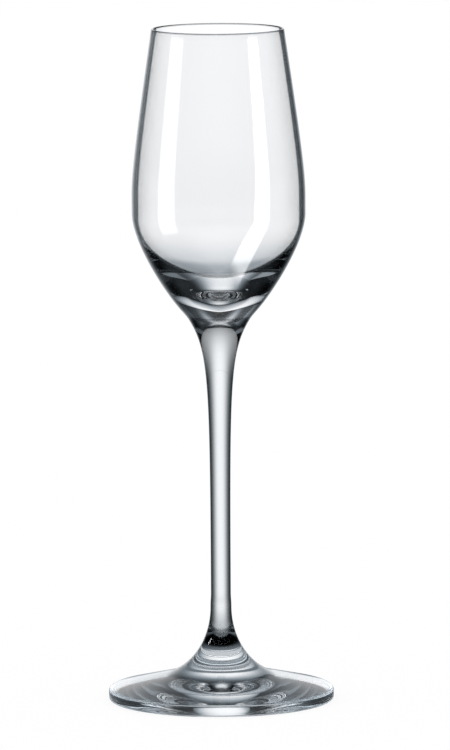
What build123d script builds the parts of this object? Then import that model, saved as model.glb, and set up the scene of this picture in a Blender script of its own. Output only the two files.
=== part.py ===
from build123d import *
from math import cos, radians, sin, tan
import os

# A stemmed cordial glass of clear glass: a pressed foot, a solid drawn stem and a blown bowl, welded to
# each other end to end. The origin is the centre of the foot on the table and +Z is up, along the axis
# that every piece is turned about. Lengths are in millimetres and angles in degrees.

# Foot, from the table up to its weld with the stem
foot_diameter = 60.2
foot_height = 25.0
foot_edge_height = 3.05
foot_edge_top_radius = 0.85
foot_edge_bottom_radius = 0.80
foot_top_slope = 13.5
foot_sweep_diameter = 30.4
rest_ring_width = 1.0
underside_hollow = 2.25
underside_angle = 10.5

# Stem, between its two welds
stem_length = 78.5
foot_weld_diameter = 5.62
waist_diameter = 5.33
waist_height = 3.8
bowl_weld_diameter = 17.75
stem_flare_angle = 33.0

# Bowl, from its weld with the stem up to the rim
bowl_height = 76.5
bowl_cone_angle = 47.0
belly_diameter = 46.3
belly_height = 27.4
rim_diameter = 35.4
rim_lean = 8.5
rim_wall = 0.68
belly_wall = 0.80
base_thickness = 4.3

# Fullness of the curves: how far each end of a curve keeps its own direction, as a share of the curve's run
underside_centre_fullness = 0.25
underside_edge_fullness = 0.26
post_fullness = 0.53
sweep_fullness = 0.54
waist_fullness = 0.45
stem_fullness = 0.80
stem_flare_fullness = 0.147
cone_fullness = 0.215
belly_lower_fullness = 0.30
belly_upper_fullness = 0.18
shoulder_fullness = 0.82
hollow_side_fullness = 0.67
hollow_floor_fullness = 0.13

# Heights of the welds and of the rim above the table
foot_weld_level = foot_height
bowl_weld_level = foot_weld_level + stem_length
rim_level = bowl_weld_level + bowl_height


def at(radius, height):
    """A point of an outline, in the XZ plane."""
    return Vector(radius, 0, height)


def heading(angle, length):
    """A step of the given length, at an angle outward from straight up."""
    return Vector(length * sin(radians(angle)), 0, length * cos(radians(angle)))


def turned(outline):
    """The solid that a closed outline sweeps in one turn about the axis."""
    return revolve(make_face(outline), Axis.Z)


def make_foot():
    """A shallow cone with an upright edge, a post up to the stem, a flat resting ring and a hollow underside."""
    foot_radius = foot_diameter / 2
    ring_outer = foot_radius - foot_edge_bottom_radius
    ring_inner = ring_outer - rest_ring_width
    corner = at(foot_radius, foot_edge_height)
    corner_length = foot_edge_top_radius * tan(radians((90 - foot_top_slope) / 2))
    top_angle = foot_top_slope - 90
    sweep_radius = foot_sweep_diameter / 2
    sweep_start = at(sweep_radius, corner.Z + (foot_radius - sweep_radius) * tan(radians(foot_top_slope)))
    weld_edge = at(foot_weld_diameter / 2, foot_weld_level)
    sweep_handle = sweep_fullness * (sweep_radius - weld_edge.X)
    post_handle = post_fullness * (foot_weld_level - sweep_start.Z)

    underside = Bezier(
        at(0, underside_hollow),
        at(underside_centre_fullness * ring_inner, underside_hollow),
        at(ring_inner, 0) + heading(underside_angle - 90, underside_edge_fullness * ring_inner),
        at(ring_inner, 0),
    )
    resting_ring = Line(at(ring_inner, 0), at(ring_outer, 0))
    bottom_edge = TangentArc(at(ring_outer, 0), at(foot_radius, foot_edge_bottom_radius), tangent=(1, 0, 0))
    upright_edge = Line(at(foot_radius, foot_edge_bottom_radius), corner - at(0, corner_length))
    top_edge = TangentArc(
        corner - at(0, corner_length), corner + heading(top_angle, corner_length), tangent=(0, 0, 1)
    )
    top = Line(corner + heading(top_angle, corner_length), sweep_start)
    sweep = Bezier(
        sweep_start,
        sweep_start + heading(top_angle, sweep_handle),
        weld_edge - at(0, post_handle),
        weld_edge,
    )
    weld = Line(weld_edge, at(0, foot_weld_level))
    axis = Line(at(0, foot_weld_level), at(0, underside_hollow))
    return turned([underside, resting_ring, bottom_edge, upright_edge, top_edge, top, sweep, weld, axis])


def make_stem():
    """A solid stem with a waist just above the foot, and a long taper that flares out into the bowl."""
    foot_weld_edge = at(foot_weld_diameter / 2, foot_weld_level)
    waist = at(waist_diameter / 2, foot_weld_level + waist_height)
    bowl_weld_edge = at(bowl_weld_diameter / 2, bowl_weld_level)
    waist_handle = at(0, waist_fullness * waist_height)
    taper_length = bowl_weld_level - waist.Z

    lower = Bezier(foot_weld_edge, foot_weld_edge + waist_handle, waist - waist_handle, waist)
    taper = Bezier(
        waist,
        waist + at(0, stem_fullness * taper_length),
        bowl_weld_edge - heading(stem_flare_angle, stem_flare_fullness * taper_length),
        bowl_weld_edge,
    )
    bowl_weld = Line(bowl_weld_edge, at(0, bowl_weld_level))
    axis = Line(at(0, bowl_weld_level), at(0, foot_weld_level))
    foot_weld = Line(at(0, foot_weld_level), foot_weld_edge)
    return turned([lower, taper, bowl_weld, axis, foot_weld])


def make_bowl():
    """A tulip bowl with a thick base over the stem, a thin wall and a rounded, fire-polished rim."""
    weld_edge = at(bowl_weld_diameter / 2, bowl_weld_level)
    belly = at(belly_diameter / 2, bowl_weld_level + belly_height)
    belly_inside = belly - at(belly_wall, 0)
    floor_level = bowl_weld_level + base_thickness
    floor = at(0, floor_level)
    rim_radius = rim_wall / 2
    rim_centre = at(rim_diameter / 2 - rim_radius, rim_level - rim_radius)
    across_rim = heading(90 - rim_lean, rim_radius)
    rim_outside = rim_centre + across_rim
    rim_inside = rim_centre - across_rim
    shoulder_height = rim_level - belly.Z
    shoulder_handle = heading(180 - rim_lean, shoulder_fullness * shoulder_height)
    belly_upper_handle = at(0, belly_upper_fullness * shoulder_height)

    cone = Bezier(
        weld_edge,
        weld_edge + heading(bowl_cone_angle, cone_fullness * belly_height),
        belly - at(0, belly_lower_fullness * belly_height),
        belly,
    )
    shoulder = Bezier(belly, belly + belly_upper_handle, rim_outside + shoulder_handle, rim_outside)
    rim = ThreePointArc(rim_outside, at(rim_centre.X, rim_level), rim_inside)
    shoulder_inside = Bezier(
        rim_inside, rim_inside + shoulder_handle, belly_inside + belly_upper_handle, belly_inside
    )
    hollow = Bezier(
        belly_inside,
        belly_inside - at(0, hollow_side_fullness * (belly.Z - floor_level)),
        floor + at(hollow_floor_fullness * belly_inside.X, 0),
        floor,
    )
    axis = Line(floor, at(0, bowl_weld_level))
    weld = Line(at(0, bowl_weld_level), weld_edge)
    return turned([cone, shoulder, rim, shoulder_inside, hollow, axis, weld])


os.makedirs("parts", exist_ok=True)
for name, make in {"foot": make_foot, "stem": make_stem, "bowl": make_bowl}.items():
    piece = make()
    piece.label = name
    export_step(piece, f"parts/{name}.step")
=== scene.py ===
from math import cos, exp, radians, sin, tan, tau

import bmesh
import bpy
from mathutils import Matrix, Quaternion, Vector
from mathutils.geometry import interpolate_bezier


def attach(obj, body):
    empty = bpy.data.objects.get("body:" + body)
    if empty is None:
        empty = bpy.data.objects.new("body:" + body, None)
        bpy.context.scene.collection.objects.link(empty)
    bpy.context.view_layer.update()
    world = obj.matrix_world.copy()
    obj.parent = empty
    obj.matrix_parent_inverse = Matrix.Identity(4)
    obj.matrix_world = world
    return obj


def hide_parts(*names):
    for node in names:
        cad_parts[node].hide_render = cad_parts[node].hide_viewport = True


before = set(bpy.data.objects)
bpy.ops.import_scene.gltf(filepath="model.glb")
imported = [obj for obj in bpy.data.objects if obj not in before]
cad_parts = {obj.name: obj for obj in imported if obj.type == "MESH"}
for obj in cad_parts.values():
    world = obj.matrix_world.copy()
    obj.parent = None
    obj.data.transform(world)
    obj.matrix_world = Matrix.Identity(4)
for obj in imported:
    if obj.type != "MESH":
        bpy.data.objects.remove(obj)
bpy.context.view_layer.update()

# Bowl: blown into a mould from clear glass, then cut and fire-polished at the rim, which rounds it.
# The wall is thin up to the belly and thickens below it into a solid base, which is welded to the stem.
# Lengths are in millimetres and angles in degrees, for the stem and the foot too.
bowl_weld_level = 103.5
bowl_weld_diameter = 17.98
bowl_weld_angle = 40.0
bowl_cone_diameter = 17.75
bowl_cone_angle = 47.0
weld_reach = 1.45
belly_diameter = 46.3
belly_height = 27.4
rim_level = 180.0
rim_diameter = 35.4
rim_lean = 8.5
rim_wall = 0.68
belly_wall = 0.80
base_thickness = 4.3
cone_fullness = 0.215
belly_lower_fullness = 0.30
belly_upper_fullness = 0.18
shoulder_fullness = 0.82
hollow_side_fullness = 0.67
hollow_floor_fullness = 0.13
cone_points = 140
shoulder_points = 64
hollow_points = 100
weld_points = 16
rounded_edge_points = 13
turn_steps = 256
crease_angle = 30.0
merge_distance = 1e-4
level_digits = 4
metre = 1000.0
glass_ior = 1.52
bowl_colour = "FEFEFE"
# Painted shade: the dark colour of the bowl's sides where they are seen edge-on, and of a band at the top of
# the rim.
bowl_edge_shade_colour = "2C3032"
bowl_edge_range = (0.67, 0.74)
bowl_edge_blend = 0.5
rim_shade_line_bottom = 0.55
rim_shade_line_top = 0.20
rim_shade_line_share = 0.65
scene = bpy.context.scene


def at(radius, height):
    """A point of an outline: millimetres from the axis and above the table."""
    return Vector((radius, 0, height))


def heading(angle, length):
    """A step of the given length, at an angle outward from straight up."""
    return Vector((length * sin(radians(angle)), 0, length * cos(radians(angle))))


def arc(centre, radius, start, end):
    """The points of a rounded edge about a centre, between two angles outward from straight up."""
    last = rounded_edge_points - 1
    return [centre + heading(start + (end - start) * i / last, radius) for i in range(rounded_edge_points)]


def melted(curve, weld, angle):
    """A curve that starts at a weld, its first stretch melted round to leave the weld at an angle."""
    kept = [point for point in curve if (point - curve[0]).length > weld_reach]
    third = (kept[0] - weld).length / 3
    onward = (kept[1] - kept[0]).normalized()
    weld_handle = weld + heading(angle, third)
    kept_handle = kept[0] - onward * third
    return interpolate_bezier(weld, weld_handle, kept_handle, kept[0], weld_points) + kept[1:]


def turned(name, outline, weld_levels):
    """A glass piece turned from its outline about the axis. Its flat weld faces get the second material."""
    shape = bmesh.new()
    points = [shape.verts.new(point / metre) for point in outline]
    lines = [shape.edges.new(pair) for pair in zip(points, points[1:])]
    bmesh.ops.spin(
        shape,
        geom=points + lines,
        cent=(0, 0, 0),
        axis=(0, 0, 1),
        angle=tau,
        steps=turn_steps,
        use_merge=True,
    )
    bmesh.ops.remove_doubles(shape, verts=shape.verts, dist=merge_distance / metre)
    bmesh.ops.recalc_face_normals(shape, faces=shape.faces)
    for face in shape.faces:
        heights = {round(corner.co.z * metre, level_digits) for corner in face.verts}
        face.material_index = int(any(heights == {level} for level in weld_levels))
    mesh = bpy.data.meshes.new(name)
    shape.to_mesh(mesh)
    shape.free()
    mesh.shade_smooth()
    mesh.set_sharp_from_angle(angle=radians(crease_angle))
    piece = bpy.data.objects.new(name, mesh)
    scene.collection.objects.link(piece)
    return piece


def linear(colour):
    """The linear colour of an sRGB hex value."""
    shares = [int(colour[i : i + 2], 16) / 255 for i in (0, 2, 4)]
    return [s / 12.92 if s <= 0.04045 else ((s + 0.055) / 1.055) ** 2.4 for s in shares] + [1]


def bare_tree(owner):
    """The emptied node tree of a material, a world or a lamp."""
    owner.use_nodes = True
    owner.node_tree.nodes.clear()
    return owner.node_tree


def add_node(tree, kind, inputs=(), **settings):
    """Adds a node with its settings, its sockets set to values or linked, and gives its outputs."""
    node = tree.nodes.new(kind)
    for setting, value in settings.items():
        setattr(node, setting, value)
    for socket, value in dict(inputs).items():
        if isinstance(value, bpy.types.NodeSocket):
            tree.links.new(value, node.inputs[socket])
        else:
            node.inputs[socket].default_value = value
    return node.outputs


def glass(name, colour, edge_shade_colour, edge_range, edge_blend, stretches):
    """
    A clear glass that bends and mirrors the light, with painted shade in its colour where the eye looks along
    a wall.
    Each stretch of heights changes that painted shade by shares that run from its start to its end.
    """
    material = bpy.data.materials.new(name)
    tree = bare_tree(material)
    facing = add_node(tree, "ShaderNodeLayerWeight", {"Blend": edge_blend})["Facing"]
    edge_on = {"Value": facing, "From Min": edge_range[0], "From Max": edge_range[1]}
    painted_shade = add_node(tree, "ShaderNodeMapRange", edge_on, interpolation_type="SMOOTHSTEP")["Result"]
    spot = add_node(tree, "ShaderNodeTexCoord")["Object"]
    height = add_node(tree, "ShaderNodeSeparateXYZ", {"Vector": spot})["Z"]
    for change, start, end, first, last in stretches:
        share = {"Value": height, "From Min": start / metre, "From Max": end / metre}
        share |= {"To Min": first, "To Max": last}
        share = add_node(tree, "ShaderNodeMapRange", share, interpolation_type="SMOOTHSTEP")["Result"]
        painted_shade = add_node(tree, "ShaderNodeMath", {0: painted_shade, 1: share}, operation=change)[0]
    # Painted shade: the base colour turns to the dark edge colour where the wall is seen edge-on.
    tints = {"Factor": painted_shade, "A": linear(colour), "B": linear(edge_shade_colour)}
    tint = add_node(tree, "ShaderNodeMix", tints, data_type="RGBA")["Result"]
    body = {"Base Color": tint, "IOR": glass_ior, "Roughness": 0.0, "Transmission Weight": 1.0}
    shader = add_node(tree, "ShaderNodeBsdfPrincipled", body)["BSDF"]
    add_node(tree, "ShaderNodeOutputMaterial", {"Surface": shader})
    return material


weld_edge = at(bowl_weld_diameter / 2, bowl_weld_level)
cone_start = at(bowl_cone_diameter / 2, bowl_weld_level)
belly = at(belly_diameter / 2, bowl_weld_level + belly_height)
belly_inside = belly - at(belly_wall, 0)
hollow_floor = at(0, bowl_weld_level + base_thickness)
rim_centre = at((rim_diameter - rim_wall) / 2, rim_level - rim_wall / 2)
rim_outside = rim_centre + heading(90 - rim_lean, rim_wall / 2)
rim_inside = rim_centre - heading(90 - rim_lean, rim_wall / 2)
shoulder_height = rim_level - belly.z
shoulder_handle = heading(180 - rim_lean, shoulder_fullness * shoulder_height)
belly_upper_handle = at(0, belly_upper_fullness * shoulder_height)
cone = interpolate_bezier(
    cone_start,
    cone_start + heading(bowl_cone_angle, cone_fullness * belly_height),
    belly - at(0, belly_lower_fullness * belly_height),
    belly,
    cone_points,
)
cone = melted(cone, weld_edge, bowl_weld_angle)
shoulder = interpolate_bezier(
    belly,
    belly + belly_upper_handle,
    rim_outside + shoulder_handle,
    rim_outside,
    shoulder_points,
)
rim = arc(rim_centre, rim_wall / 2, 90 - rim_lean, -90 - rim_lean)
shoulder_inside = interpolate_bezier(
    rim_inside,
    rim_inside + shoulder_handle,
    belly_inside + belly_upper_handle,
    belly_inside,
    shoulder_points,
)
hollow = interpolate_bezier(
    belly_inside,
    belly_inside - at(0, hollow_side_fullness * (belly.z - hollow_floor.z)),
    hollow_floor + at(hollow_floor_fullness * belly_inside.x, 0),
    hollow_floor,
    hollow_points,
)
outer_wall = [*cone[:-1], *shoulder[:-1]]
inner_wall = [*shoulder_inside[:-1], *hollow]
bowl = turned("blown_bowl", [at(0, bowl_weld_level), *outer_wall, *rim[:-1], *inner_wall], [bowl_weld_level])

# Blown soda-lime glass with fire-polished faces: as clear as the light behind it. A grey line down each side,
# where the eye looks along the thin wall, and a thin dark line round the rim are painted shade in its colour.
# Painted shade: a thin dark band round the top of the rim, added to the edge darkening.
rim_shade_line = ("MAXIMUM", rim_level - rim_shade_line_bottom, rim_level - rim_shade_line_top, 0.0, rim_shade_line_share)
bowl_edge_shade = (bowl_edge_shade_colour, bowl_edge_range, bowl_edge_blend, [rim_shade_line])
blown_glass = glass("blown soda-lime glass", bowl_colour, *bowl_edge_shade)

# Fused glass at a weld: both pieces are one body of glass there, so the eye sees no face between them.
fused_seam = bpy.data.materials.new("fused glass seam")
seam_tree = bare_tree(fused_seam)
seam_body = {"Base Color": linear(bowl_colour), "IOR": glass_ior, "Transmission Weight": 1.0, "Alpha": 0.0}
seam_shader = add_node(seam_tree, "ShaderNodeBsdfPrincipled", seam_body)["BSDF"]
add_node(seam_tree, "ShaderNodeOutputMaterial", {"Surface": seam_shader})
bowl.data.materials.append(blown_glass)
bowl.data.materials.append(fused_seam)
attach(bowl, "root")
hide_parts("bowl")

# Stem: a solid rod of the same clear glass, drawn out while hot and smoothed in the flame.
# It flares at the top into the bowl and narrows to a waist just above the foot, with a weld at each end.
foot_weld_level = 25.0
foot_weld_diameter = 5.62
waist_diameter = 5.33
waist_height = 3.8
stem_flare_angle = 33.0
waist_fullness = 0.45
stem_fullness = 0.80
stem_flare_fullness = 0.147
waist_points = 24
taper_points = 240
stem_colour = "F2F4F5"
# Painted shade: the dark colour of the stem's and the foot's sides where they are seen edge-on.
stem_edge_shade_colour = "10181C"
stem_edge_range = (0, 1)
stem_edge_blend = 0.912
post_dark_from = 12.0
post_dark_to = 22.0
flare_clear_from = 86.0
flare_clear_to = 103.0
flare_dark_share = 0.70

foot_weld_edge = at(foot_weld_diameter / 2, foot_weld_level)
waist = at(waist_diameter / 2, foot_weld_level + waist_height)
waist_handle = at(0, waist_fullness * waist_height)
taper_length = bowl_weld_level - waist.z
lower_stem = interpolate_bezier(
    foot_weld_edge,
    foot_weld_edge + waist_handle,
    waist - waist_handle,
    waist,
    waist_points,
)
taper = interpolate_bezier(
    waist,
    waist + at(0, stem_fullness * taper_length),
    cone_start - heading(stem_flare_angle, stem_flare_fullness * taper_length),
    cone_start,
    taper_points,
)
taper = melted(taper[::-1], weld_edge, bowl_weld_angle - 180)[::-1]
stem_outline = [at(0, foot_weld_level), *lower_stem[:-1], *taper, at(0, bowl_weld_level)]
stem = turned("drawn_stem", stem_outline, [foot_weld_level, bowl_weld_level])

# Drawn soda-lime glass: a solid rod of it gathers the light in its middle, and its sides are painted dark
# grey as painted shade. The painted shade lifts down the foot's post, and a little where the stem flares into
# the bowl.
# The painted shade lifts from 22 mm down to 12 mm on the post, and partly where the stem flares into the
# bowl.
post_shade_fading = ("MULTIPLY", post_dark_from, post_dark_to, 0.0, 1.0)
flare_shade_fading = ("MULTIPLY", flare_clear_from, flare_clear_to, 1.0, flare_dark_share)
stem_edge_shade = (stem_edge_shade_colour, stem_edge_range, stem_edge_blend, [post_shade_fading, flare_shade_fading])
drawn_glass = glass("drawn soda-lime glass", stem_colour, *stem_edge_shade)
stem.data.materials.append(drawn_glass)
stem.data.materials.append(fused_seam)
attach(stem, "root")
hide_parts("stem")

# Foot: a gather of the same clear glass, pressed into a shallow cone with an upright edge and a short post.
# The post is welded to the stem, and the glass stands on a flat ring round the hollow underside.
foot_diameter = 60.2
foot_edge_height = 3.05
foot_edge_top_radius = 0.85
foot_edge_bottom_radius = 0.80
foot_top_slope = 13.5
foot_sweep_diameter = 30.4
rest_ring_width = 1.0
underside_hollow = 2.25
underside_angle = 10.5
underside_centre_fullness = 0.25
underside_edge_fullness = 0.26
post_fullness = 0.53
sweep_fullness = 0.54
underside_points = 100
top_steps = 40
sweep_points = 160

foot_radius = foot_diameter / 2
ring_outer = at(foot_radius - foot_edge_bottom_radius, 0)
ring_inner = ring_outer - at(rest_ring_width, 0)
underside = interpolate_bezier(
    at(0, underside_hollow),
    at(underside_centre_fullness * ring_inner.x, underside_hollow),
    ring_inner + heading(underside_angle - 90, underside_edge_fullness * ring_inner.x),
    ring_inner,
    underside_points,
)
bottom_edge = arc(ring_outer + at(0, foot_edge_bottom_radius), foot_edge_bottom_radius, 180, 90)
corner = at(foot_radius, foot_edge_height)
corner_length = foot_edge_top_radius * tan(radians((90 - foot_top_slope) / 2))
top_edge = arc(corner - at(foot_edge_top_radius, corner_length), foot_edge_top_radius, 90, foot_top_slope)
sweep_radius = foot_sweep_diameter / 2
sweep_start = at(sweep_radius, corner.z + (foot_radius - sweep_radius) * tan(radians(foot_top_slope)))
top = [top_edge[-1].lerp(sweep_start, i / top_steps) for i in range(1, top_steps)]
sweep = interpolate_bezier(
    sweep_start,
    sweep_start + heading(foot_top_slope - 90, sweep_fullness * (sweep_radius - foot_weld_edge.x)),
    foot_weld_edge - at(0, post_fullness * (foot_weld_level - sweep_start.z)),
    foot_weld_edge,
    sweep_points,
)
foot_outline = [*underside, *bottom_edge, *top_edge, *top, *sweep, at(0, foot_weld_level)]
foot = turned("pressed_foot", foot_outline, [foot_weld_level])

# Pressed soda-lime glass, smoothed in the flame: clear like the stem, whose painted shade on the sides runs
# on down the post. Its cone and hollow bend the light into rings.
pressed_glass = glass("pressed soda-lime glass", stem_colour, *stem_edge_shade)
foot.data.materials.append(pressed_glass)
foot.data.materials.append(fused_seam)
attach(foot, "root")
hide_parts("foot")

# Studio light: lit white paper rises behind the glass in a dim room, and a panel hangs overhead. Light that
# goes straight through the glass finds lit paper all round, so it looks clear from every side. Light that is
# mirrored in it finds the paper where it stands, which draws dark lines and rings. Sizes are in degrees.
dim_light_colour = "DCF0FF"
bright_light_colour = "FCFDFF"
plain_level = 1.0
paper_level = 1.16
paper_direction = -4.0
paper_width = 26.9
panel_edge = 1.32
straight_rise_share = 0.55
rising_paper = ((0, 4), (paper_width, 28), paper_level)
room_panels = {"overhead panel": ((-5, 65.5), (50, 6.4), 1.1), "dim room above": ((0, 42), (85, 25), 0.06)}
# Bounces come in whole numbers, so more than half a bounce means at least one.
half_bounce = 0.5


def paper_bearing(tree, ray, way):
    """A direction's bearing, how far it lies off the lit paper, and whether the glass mirrored its light."""
    mirrored = {0: ray["Glossy Depth"], 1: half_bounce}
    mirrored = add_node(tree, "ShaderNodeMath", mirrored, operation="GREATER_THAN")[0]
    bearing = add_node(tree, "ShaderNodeMath", {0: way["X"], 1: way["Y"]}, operation="ARCTAN2")[0]
    off = add_node(tree, "ShaderNodeMath", {0: bearing, 1: radians(paper_direction)}, operation="SUBTRACT")[0]
    off = add_node(tree, "ShaderNodeMath", {0: off, 1: mirrored}, operation="MULTIPLY")[0]
    return bearing, off, mirrored


def lit_panel(tree, bearing, rise, middle, size, level):
    """The light of a soft panel: its middle and size are in degrees, across from straight behind and up."""
    across = add_node(tree, "ShaderNodeMath", {0: bearing, 1: radians(middle[0])}, operation="SUBTRACT")[0]
    across = add_node(tree, "ShaderNodeMath", {0: across, 1: tau / 2, 2: -tau / 2}, operation="WRAP")[0]
    place = add_node(tree, "ShaderNodeCombineXYZ", {"X": across, "Y": rise})[0]
    scale = (1 / radians(size[0]), 1 / radians(size[1]), 0)
    shift = (0, -middle[1] / size[1], 0)
    place = {0: place, 1: scale, 2: shift}
    place = add_node(tree, "ShaderNodeVectorMath", place, operation="MULTIPLY_ADD")[0]
    off = add_node(tree, "ShaderNodeVectorMath", {0: place, 1: place}, operation="DOT_PRODUCT")["Value"]
    off = add_node(tree, "ShaderNodeMath", {0: off, 1: panel_edge}, operation="POWER")[0]
    fall = add_node(tree, "ShaderNodeMath", {0: exp(-1), 1: off}, operation="POWER")[0]
    return add_node(tree, "ShaderNodeMath", {0: fall, 1: level}, operation="MULTIPLY")[0]


def tinted(tree, level):
    """The colour of the studio's light at a level: white where it is bright and cool where it is dim."""
    tints = {"Factor": level, "A": linear(dim_light_colour), "B": linear(bright_light_colour)}
    return add_node(tree, "ShaderNodeMix", tints, data_type="RGBA")["Result"]


studio = bpy.data.worlds.new("studio")
scene.world = studio
tree = bare_tree(studio)
ray = add_node(tree, "ShaderNodeLightPath")
way = add_node(tree, "ShaderNodeTexCoord")["Generated"]
way = add_node(tree, "ShaderNodeSeparateXYZ", {"Vector": way})
bearing, off, mirrored = paper_bearing(tree, ray, way)
rise = add_node(tree, "ShaderNodeMath", {0: way["Z"]}, operation="ARCSINE")[0]
rise_share = {"Value": mirrored, "To Min": straight_rise_share, "To Max": 1.0}
rise_share = add_node(tree, "ShaderNodeMapRange", rise_share)["Result"]
paper_rise = add_node(tree, "ShaderNodeMath", {0: rise, 1: rise_share}, operation="MULTIPLY")[0]
lights = lit_panel(tree, off, paper_rise, *rising_paper)
for middle, size, level in room_panels.values():
    panel = lit_panel(tree, bearing, rise, middle, size, level)
    lights = add_node(tree, "ShaderNodeMath", {0: panel, 1: lights}, operation="ADD")[0]
above = add_node(tree, "ShaderNodeMath", {0: way["Z"], 1: 0.0}, operation="GREATER_THAN")[0]
lights = add_node(tree, "ShaderNodeMath", {0: lights, 1: above}, operation="MULTIPLY")[0]
in_glass = {0: ray["Is Glossy Ray"], 1: ray["Is Transmission Ray"]}
in_glass = add_node(tree, "ShaderNodeMath", in_glass, operation="MAXIMUM")[0]
studio_light = add_node(tree, "ShaderNodeBackground", {"Color": tinted(tree, lights), "Strength": lights})[0]
plain_light = add_node(tree, "ShaderNodeBackground", {"Color": (1, 1, 1, 1), "Strength": plain_level})[0]
light_seen = add_node(tree, "ShaderNodeMixShader", {0: in_glass, 1: plain_light, 2: studio_light})[0]
add_node(tree, "ShaderNodeOutputWorld", {"Surface": light_seen})

# Paper floor: a wide sheet of white paper under the glass. Seen in the glass it glows with painted light: lit
# all round for straight light, and behind, in front and at the sides for mirrored light. The glow dims near
# the foot as painted shade, with a painted shadow under the post and a painted darker step that shows low in
# the bowl. Lengths are in metres and bearings in degrees.
floor_colour = "F2F2F2"
floor_half = 200.0
floor_brightness = 1.02
floor_evenness = 0.85
# Painted shade: how soon the glow dims towards the glass, for straight, mirrored and bowl light.
straight_fade = 0.020
mirrored_fade = 0.050
bowl_fade = 0.090
# Light that has crossed this many faces of glass came through the bowl.
bowl_surfaces = 4
# Painted light: glowing paper at the sides and in front, seen by mirrored light only.
painted_side_light = {"left": (-92, 25, 0.35), "right": (92, 25, 0.2)}
painted_front_light = (180, 50, 1.0)
front_reach = 0.40
# Painted shade: a darker step near the glass for light through the bowl, and a painted shadow under the post.
painted_step_edges = (0.160, 0.235)
painted_step_level = 0.66
painted_shadow_edges = (0.008, 0.014)
painted_shadow_level = 0.0

floor_shape = bmesh.new()
bmesh.ops.create_grid(floor_shape, x_segments=1, y_segments=1, size=floor_half)
floor_mesh = bpy.data.meshes.new("studio floor")
floor_shape.to_mesh(floor_mesh)
floor_shape.free()
floor = bpy.data.objects.new("studio floor", floor_mesh)
scene.collection.objects.link(floor)

# Matt white paper: the eye sees it evenly bright, with a faint shadow round the foot. The lamps shine through
# it from below, so that their reflections reach low on the bowl.
white_paper = bpy.data.materials.new("white paper")
tree = bare_tree(white_paper)
ray = add_node(tree, "ShaderNodeLightPath")
spot = add_node(tree, "ShaderNodeTexCoord")["Object"]
away = add_node(tree, "ShaderNodeVectorMath", {0: spot}, operation="LENGTH")["Value"]
way = add_node(tree, "ShaderNodeSeparateXYZ", {"Vector": spot})
bearing, off, mirrored = paper_bearing(tree, ray, way)
through_bowl = {0: ray["Transmission Depth"], 1: bowl_surfaces - half_bounce}
through_bowl = add_node(tree, "ShaderNodeMath", through_bowl, operation="GREATER_THAN")[0]
fade = {0: through_bowl, 1: bowl_fade, 2: straight_fade}
fade = add_node(tree, "ShaderNodeMath", fade, operation="MULTIPLY_ADD")[0]
fade = add_node(tree, "ShaderNodeMath", {0: mirrored, 1: mirrored_fade, 2: fade}, operation="MULTIPLY_ADD")[0]
beyond = add_node(tree, "ShaderNodeMath", {0: away, 1: fade}, operation="ADD")[0]
fading = add_node(tree, "ShaderNodeMath", {0: away, 1: beyond}, operation="DIVIDE")[0]
# Painted light: lit paper behind the glass, then the side and front glow for mirrored light.
lit = lit_panel(tree, off, 0.0, (0, 0), (paper_width, 1), paper_level)
lit = add_node(tree, "ShaderNodeMath", {0: lit, 1: fading}, operation="MULTIPLY")[0]
for middle, width, level in painted_side_light.values():
    side = lit_panel(tree, bearing, 0.0, (middle, 0), (width, 1), level)
    lit = add_node(tree, "ShaderNodeMath", {0: side, 1: mirrored, 2: lit}, operation="MULTIPLY_ADD")[0]
middle, width, level = painted_front_light
front = lit_panel(tree, bearing, 0.0, (middle, 0), (width, 1), level)
front = add_node(tree, "ShaderNodeMath", {0: front, 1: mirrored}, operation="MULTIPLY")[0]
spread = add_node(tree, "ShaderNodeMath", {0: away, 1: away}, operation="MULTIPLY")[0]
reach = add_node(tree, "ShaderNodeMath", {0: exp(-1 / front_reach**2), 1: spread}, operation="POWER")[0]
lit = add_node(tree, "ShaderNodeMath", {0: front, 1: reach, 2: lit}, operation="MULTIPLY_ADD")[0]
# Painted shade: the step for light through the bowl, and the painted shadow under the post for mirrored
# light.
for shaded, edges, level in ((through_bowl, painted_step_edges, painted_step_level), (mirrored, painted_shadow_edges, painted_shadow_level)):
    shade = {"Value": away, "From Min": edges[0], "From Max": edges[1], "To Min": level}
    shade = add_node(tree, "ShaderNodeMapRange", shade, interpolation_type="SMOOTHSTEP")["Result"]
    unshaded = add_node(tree, "ShaderNodeMath", {0: 1.0, 1: shaded}, operation="SUBTRACT")[0]
    shade = add_node(tree, "ShaderNodeMath", {0: shade, 1: unshaded}, operation="MAXIMUM")[0]
    lit = add_node(tree, "ShaderNodeMath", {0: lit, 1: shade}, operation="MULTIPLY")[0]
# The paper's painted glow, seen only in the glass, with the lamps' light let through.
glow = add_node(tree, "ShaderNodeEmission", {"Color": tinted(tree, lit), "Strength": lit})[0]
clear = add_node(tree, "ShaderNodeBsdfTransparent")[0]
painted_glow_in_the_glass = add_node(tree, "ShaderNodeAddShader", {0: glow, 1: clear})[0]
matt = add_node(tree, "ShaderNodeBsdfDiffuse", {"Color": linear(floor_colour)})[0]
bright = add_node(tree, "ShaderNodeEmission", {"Strength": floor_brightness})[0]
to_the_eye = add_node(tree, "ShaderNodeMixShader", {0: floor_evenness, 1: matt, 2: bright})[0]
paper_seen = {0: ray["Is Camera Ray"], 1: painted_glow_in_the_glass, 2: to_the_eye}
paper_seen = add_node(tree, "ShaderNodeMixShader", paper_seen)[0]
add_node(tree, "ShaderNodeOutputMaterial", {"Surface": paper_seen})
floor_mesh.materials.append(white_paper)

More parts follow.
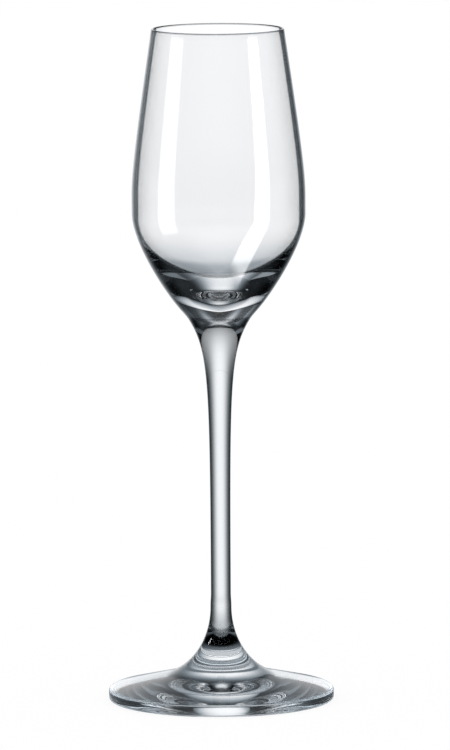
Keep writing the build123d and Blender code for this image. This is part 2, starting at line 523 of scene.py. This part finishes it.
# Lamps: a strip light on each side of the bowl and a small softbox to the left of the foot. Each lights one
# piece, by its first reflection only, and fades towards its own edges. A lamp has its piece, the bearings of
# its sides, the heights of its ends and its lean, all in degrees, and its radiance.
lamps = {
    "left strip light": (bowl, (-122, -91), (-31, 16), 0, 3.0),
    "right strip light": (bowl, (110, 137), (-66, 18), -10, 6.0),
    "small softbox": (foot, (-108, -84), (21, 26), 0, 6.0),
}
lamp_distance = 1.5
lamp_aim = Vector((0, 0, 0.14))
lamp_core = 0.70
watts_per_radiance = 4


def direction(azimuth, elevation):
    """A direction in degrees: azimuth from straight behind the glass towards the right, elevation upward."""
    a, e = radians(azimuth), radians(elevation)
    return Vector((sin(a) * cos(e), cos(a) * cos(e), sin(e)))


for name, (piece, sides, ends, lean, radiance) in lamps.items():
    data = bpy.data.lights.new(name, "AREA")
    data.shape = "RECTANGLE"
    data.size = 2 * lamp_distance * tan(radians(sides[1] - sides[0]) / 2)
    data.size_y = 2 * lamp_distance * tan(radians(ends[1] - ends[0]) / 2)
    data.energy = radiance * data.size * data.size_y * watts_per_radiance
    tree = bare_tree(data)
    ray = add_node(tree, "ShaderNodeLightPath")
    first = {0: ray["Transmission Depth"], 1: half_bounce}
    first = add_node(tree, "ShaderNodeMath", first, operation="LESS_THAN")[0]
    place = add_node(tree, "ShaderNodeNewGeometry")["Parametric"]
    place = {0: place, 1: (2, 2, 0), 2: (-1, -1, 0)}
    place = add_node(tree, "ShaderNodeVectorMath", place, operation="MULTIPLY_ADD")[0]
    place = add_node(tree, "ShaderNodeVectorMath", {0: place}, operation="ABSOLUTE")[0]
    edge = {"Vector": place, "From Min": [lamp_core] * 3, "From Max": [1] * 3}
    edge |= {"To Min": [1] * 3, "To Max": [0] * 3}
    fall = {"data_type": "FLOAT_VECTOR", "interpolation_type": "SMOOTHSTEP"}
    edge = add_node(tree, "ShaderNodeMapRange", edge, **fall)["Vector"]
    edge = add_node(tree, "ShaderNodeSeparateXYZ", {"Vector": edge})
    level = add_node(tree, "ShaderNodeMath", {0: edge["X"], 1: edge["Y"]}, operation="MULTIPLY")[0]
    level = add_node(tree, "ShaderNodeMath", {0: level, 1: first}, operation="MULTIPLY")[0]
    glow = add_node(tree, "ShaderNodeEmission", {"Strength": level})[0]
    add_node(tree, "ShaderNodeOutputLight", {"Surface": glow})
    lamp = bpy.data.objects.new(name, data)
    scene.collection.objects.link(lamp)
    stand = direction(sum(sides) / 2, sum(ends) / 2)
    turn = stand.to_track_quat("Z", "Y") @ Quaternion((0, 0, 1), radians(lean))
    lamp.location = lamp_aim + stand * lamp_distance
    lamp.rotation_euler = turn.to_euler()
    lamp.light_linking.receiver_collection = bpy.data.collections.new(f"lit by the {name}")
    lamp.light_linking.receiver_collection.objects.link(piece)

# Camera: a long lens, a little above the glass and looking down at it, at the photograph's viewing angle.
# Its place is in metres, its turns are in degrees and its lens and sensor in millimetres.
camera_place = (0, -1.9851, 0.3451)
camera_pitch = 7.3977
camera_yaw = 0.0416
camera_roll = 0.3309
camera_lens = 360.4
camera_sensor = 36
glass_bounces = 32
clear_bounces = 64
camera = bpy.data.objects.new("camera", bpy.data.cameras.new("camera"))
camera.data.sensor_fit = "VERTICAL"
camera.data.sensor_height = camera_sensor
camera.data.lens = camera_lens
scene.collection.objects.link(camera)
camera.matrix_world = (
    Matrix.Translation(camera_place)
    @ Matrix.Rotation(radians(-camera_yaw), 4, "Z")
    @ Matrix.Rotation(radians(90 - camera_pitch), 4, "X")
    @ Matrix.Rotation(radians(-camera_roll), 4, "Z")
)
scene.camera = camera
scene.view_settings.view_transform = "Standard"
for limit in ("max_bounces", "transmission_bounces", "glossy_bounces"):
    setattr(scene.cycles, limit, glass_bounces)
scene.cycles.transparent_max_bounces = clear_bounces
